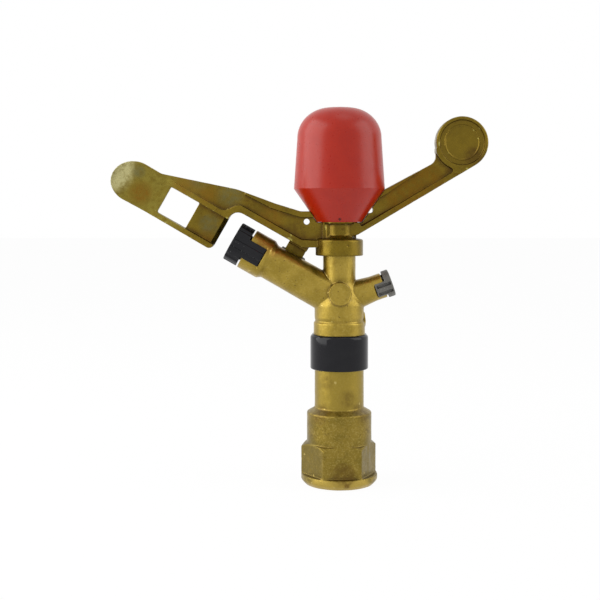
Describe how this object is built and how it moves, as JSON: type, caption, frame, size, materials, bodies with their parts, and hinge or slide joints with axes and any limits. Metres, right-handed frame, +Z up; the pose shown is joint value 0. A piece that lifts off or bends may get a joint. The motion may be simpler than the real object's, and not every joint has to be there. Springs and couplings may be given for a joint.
{
  "type": "impact sprinkler",
  "caption": "Brass impact sprinkler: female threaded base, turning head with a main and a side nozzle, sprung striking arm with counterweight, spring under a red cap.",
  "frame": {"origin": "centre of the female inlet's mouth, in the plane of the base's lower end face", "axes": "+Z up the riser's axis, -X along the main barrel's side, -Y towards the side that shows the front boss"},
  "size_m": [0.188, 0.0456, 0.1886],
  "materials": {
    "cast_brass": "as-cast, satin",
    "arm_brass": "as-cast, tarnished",
    "socket_brass": "sand-cast, fine grain",
    "turned_brass": "machined",
    "stainless": "drawn",
    "spring_steel": "drawn wire",
    "black_plastic": "gloss",
    "grey_plastic": "satin",
    "red_plastic": "soft gloss",
    "white_plastic": "satin",
    "rubber": "matt"
  },
  "bodies": {
    "base": {"base_socket": "socket_brass"},
    "head": {"spindle_tube": "turned_brass", "upper_slip_washer": "white_plastic", "seal_washer": "rubber", "lower_slip_washer": "white_plastic", "neck_washer": "white_plastic", "spring_seat_washer": "stainless", "friction_spring": "spring_steel", "sand_guard": "black_plastic", "body_casting": "cast_brass", "main_nozzle": "black_plastic", "main_nozzle_ring": "rubber", "jet_straightener": "white_plastic", "secondary_nozzle": "grey_plastic", "secondary_nozzle_ring": "rubber", "arm_shaft": "stainless", "arm_washer": "white_plastic", "arm_spring": "spring_steel", "spring_retainer": "turned_brass", "shaft_clip": "stainless", "spring_cap": "red_plastic"},
    "arm": {"impact_arm": "arm_brass", "lower_arm_bush": "white_plastic", "upper_arm_bush": "white_plastic", "arm_buffer": "grey_plastic"}
  },
  "joints": [
    {"name": "head_turn", "type": "hinge", "parent": "base", "child": "head", "pos_m": [0, 0, 0.048], "axis": [0, 0, 1], "continuous": true},
    {"name": "arm_swing", "type": "hinge", "parent": "head", "child": "arm", "pos_m": [0, 0, 0.14], "axis": [0, 0, -1], "range_deg": [0, 120], "stiffness_Nm_per_rad": 0.03, "springref_deg": -68.75, "deforming": ["arm_spring"]}
  ]
}
